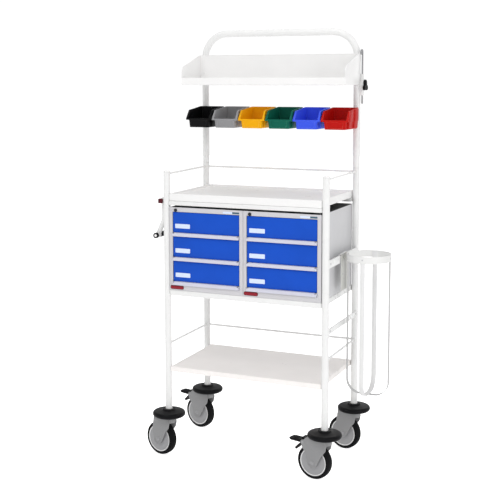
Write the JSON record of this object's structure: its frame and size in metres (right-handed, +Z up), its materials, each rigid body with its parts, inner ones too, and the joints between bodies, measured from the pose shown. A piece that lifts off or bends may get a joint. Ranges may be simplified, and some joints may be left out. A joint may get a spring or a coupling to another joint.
{
  "type": "ward equipment trolley",
  "caption": "White tubular ward trolley on swivel casters with a worktop, blue drawers, coloured bins, top and bottom shelves, an infusion rod and a catheter basket.",
  "frame": {"origin": "on the floor, at the bottom centre of the overall box, 22 mm to the right of the centre of the rectangle of the four legs", "axes": "+X to the trolley's right (the catheter basket's side), +Y to its back (the mast's side), +Z up"},
  "size_m": [0.9132, 0.453, 1.5579],
  "materials": {
    "frame_white": "satin powder coat",
    "sheet_white": "satin powder coat",
    "basket_white": "satin powder coat",
    "cabinet_grey": "satin powder coat",
    "drawer_pale": "satin powder coat",
    "front_blue": "satin powder coat",
    "lock_black": "dark lock barrel",
    "maroon_plastic": "satin",
    "rod_steel": "satin",
    "black_plastic": "matte",
    "bumper_black": "matte",
    "caster_grey": "satin",
    "tyre_black": "matte",
    "bin_black": "satin",
    "bin_grey": "satin",
    "bin_yellow": "satin",
    "bin_green": "satin",
    "bin_blue": "satin",
    "bin_red": "satin"
  },
  "bodies": {
    "frame": {"front_leg_left": "frame_white", "front_leg_right": "frame_white", "rear_leg_left": "frame_white", "rear_leg_right": "frame_white", "mast_hoop": "frame_white", "worktop_frame": "frame_white", "cabinet_frame": "frame_white", "worktop": "sheet_white", "worktop_gallery": "frame_white", "lower_shelf": "sheet_white", "lower_gallery": "frame_white", "upper_shelf": "sheet_white", "bin_rail": "frame_white", "side_rail_upper": "frame_white", "side_rail_lower": "frame_white", "handle_pivot": "maroon_plastic", "cabinet_left": "cabinet_grey", "cabinet_right": "cabinet_grey", "bumper_front_left": "bumper_black", "bumper_front_right": "bumper_black", "bumper_rear_left": "bumper_black", "bumper_rear_right": "bumper_black"},
    "push_handle": {"push_handle": "frame_white"},
    "drawer_left_top": {"drawer_left_top": "drawer_pale", "drawer_front_left_top": "front_blue"},
    "drawer_left_middle": {"drawer_left_middle": "drawer_pale", "drawer_front_left_middle": "front_blue"},
    "drawer_left_bottom": {"drawer_left_bottom": "drawer_pale", "drawer_front_left_bottom": "front_blue"},
    "lock_left": {"lock_left": "lock_black"},
    "drawer_right_top": {"drawer_right_top": "drawer_pale", "drawer_front_right_top": "front_blue"},
    "drawer_right_middle": {"drawer_right_middle": "drawer_pale", "drawer_front_right_middle": "front_blue"},
    "drawer_right_bottom": {"drawer_right_bottom": "drawer_pale", "drawer_front_right_bottom": "front_blue"},
    "lock_right": {"lock_right": "lock_black"},
    "bin_black": {"bin_black": "bin_black"},
    "bin_grey": {"bin_grey": "bin_grey"},
    "bin_yellow": {"bin_yellow": "bin_yellow"},
    "bin_green": {"bin_green": "bin_green"},
    "bin_blue": {"bin_blue": "bin_blue"},
    "bin_red": {"bin_red": "bin_red"},
    "basket": {"catheter_basket": "basket_white"},
    "infusion_rod": {"infusion_rod": "rod_steel"},
    "clamp_knob": {"clamp_knob": "black_plastic"},
    "caster_front_left": {"fork_front_left": "caster_grey"},
    "wheel_front_left": {"hub_front_left": "caster_grey", "tyre_front_left": "tyre_black"},
    "caster_front_right": {"fork_front_right": "caster_grey"},
    "wheel_front_right": {"hub_front_right": "caster_grey", "tyre_front_right": "tyre_black"},
    "brake_front_right": {"brake_pedal_front_right": "black_plastic"},
    "caster_rear_left": {"fork_rear_left": "caster_grey"},
    "wheel_rear_left": {"hub_rear_left": "caster_grey", "tyre_rear_left": "tyre_black"},
    "brake_rear_left": {"brake_pedal_rear_left": "black_plastic"},
    "caster_rear_right": {"fork_rear_right": "caster_grey"},
    "wheel_rear_right": {"hub_rear_right": "caster_grey", "tyre_rear_right": "tyre_black"}
  },
  "joints": [
    {"name": "handle_fold", "type": "hinge", "parent": "frame", "child": "push_handle", "pos_m": [-0.3445, 0, 0.945], "axis": [0, 1, 0], "range_deg": [0, 90]},
    {"name": "drawer_left_top_slide", "type": "slide", "parent": "frame", "child": "drawer_left_top", "axis": [0, -1, 0], "range_m": [0, 0.24]},
    {"name": "drawer_left_middle_slide", "type": "slide", "parent": "frame", "child": "drawer_left_middle", "axis": [0, -1, 0], "range_m": [0, 0.24]},
    {"name": "drawer_left_bottom_slide", "type": "slide", "parent": "frame", "child": "drawer_left_bottom", "axis": [0, -1, 0], "range_m": [0, 0.24]},
    {"name": "lock_left_turn", "type": "hinge", "parent": "frame", "child": "lock_left", "pos_m": [-0.2824, -0.177, 0.915], "axis": [0, 1, 0], "range_deg": [0, 90]},
    {"name": "drawer_right_top_slide", "type": "slide", "parent": "frame", "child": "drawer_right_top", "axis": [0, -1, 0], "range_m": [0, 0.24]},
    {"name": "drawer_right_middle_slide", "type": "slide", "parent": "frame", "child": "drawer_right_middle", "axis": [0, -1, 0], "range_m": [0, 0.24]},
    {"name": "drawer_right_bottom_slide", "type": "slide", "parent": "frame", "child": "drawer_right_bottom", "axis": [0, -1, 0], "range_m": [0, 0.24]},
    {"name": "lock_right_turn", "type": "hinge", "parent": "frame", "child": "lock_right", "pos_m": [0.0044, -0.177, 0.915], "axis": [0, 1, 0], "range_deg": [0, 90]},
    {"name": "bin_black_lift", "type": "slide", "parent": "frame", "child": "bin_black", "axis": [0, 0, 1], "range_m": [0, 0.03]},
    {"name": "bin_grey_lift", "type": "slide", "parent": "frame", "child": "bin_grey", "axis": [0, 0, 1], "range_m": [0, 0.03]},
    {"name": "bin_yellow_lift", "type": "slide", "parent": "frame", "child": "bin_yellow", "axis": [0, 0, 1], "range_m": [0, 0.03]},
    {"name": "bin_green_lift", "type": "slide", "parent": "frame", "child": "bin_green", "axis": [0, 0, 1], "range_m": [0, 0.03]},
    {"name": "bin_blue_lift", "type": "slide", "parent": "frame", "child": "bin_blue", "axis": [0, 0, 1], "range_m": [0, 0.03]},
    {"name": "bin_red_lift", "type": "slide", "parent": "frame", "child": "bin_red", "axis": [0, 0, 1], "range_m": [0, 0.03]},
    {"name": "basket_slide", "type": "slide", "parent": "frame", "child": "basket", "axis": [0, 1, 0], "range_m": [-0.105, 0.105]},
    {"name": "infusion_rod_slide", "type": "slide", "parent": "frame", "child": "infusion_rod", "axis": [0, 0, 1], "range_m": [-0.07, 0.02]},
    {"name": "clamp_knob_turn", "type": "hinge", "parent": "frame", "child": "clamp_knob", "pos_m": [0.3036, 0.167, 1.351], "axis": [1, 0, 0], "range_deg": [0, 270]},
    {"name": "caster_front_left_swivel", "type": "hinge", "parent": "frame", "child": "caster_front_left", "pos_m": [-0.322, -0.167, 0.14], "axis": [0, 0, 1], "continuous": true},
    {"name": "wheel_front_left_spin", "type": "hinge", "parent": "caster_front_left", "child": "wheel_front_left", "pos_m": [-0.3579, -0.15805, 0.0625], "axis": [0.2419, 0.9703, 0], "continuous": true},
    {"name": "caster_front_right_swivel", "type": "hinge", "parent": "frame", "child": "caster_front_right", "pos_m": [0.278, -0.167, 0.14], "axis": [0, 0, 1], "continuous": true},
    {"name": "wheel_front_right_spin", "type": "hinge", "parent": "caster_front_right", "child": "wheel_front_right", "pos_m": [0.24146, -0.16121, 0.0625], "axis": [0.1564, 0.9877, 0], "continuous": true},
    {"name": "brake_front_right_press", "type": "hinge", "parent": "caster_front_right", "child": "brake_front_right", "pos_m": [0.20491, -0.15542, 0.129], "axis": [-0.1564, -0.9877, 0], "range_deg": [0, 10]},
    {"name": "caster_rear_left_swivel", "type": "hinge", "parent": "frame", "child": "caster_rear_left", "pos_m": [-0.322, 0.167, 0.14], "axis": [0, 0, 1], "continuous": true},
    {"name": "wheel_rear_left_spin", "type": "hinge", "parent": "caster_rear_left", "child": "wheel_rear_left", "pos_m": [-0.35774, 0.17658, 0.0625], "axis": [0.2588, 0.9659, 0], "continuous": true},
    {"name": "brake_rear_left_press", "type": "hinge", "parent": "caster_rear_left", "child": "brake_rear_left", "pos_m": [-0.39348, 0.18615, 0.129], "axis": [-0.2588, -0.9659, 0], "range_deg": [0, 10]},
    {"name": "caster_rear_right_swivel", "type": "hinge", "parent": "frame", "child": "caster_rear_right", "pos_m": [0.278, 0.167, 0.14], "axis": [0, 0, 1], "continuous": true},
    {"name": "wheel_rear_right_spin", "type": "hinge", "parent": "caster_rear_right", "child": "wheel_rear_right", "pos_m": [0.24181, 0.17469, 0.0625], "axis": [0.2079, 0.9781, 0], "continuous": true}
  ]
}
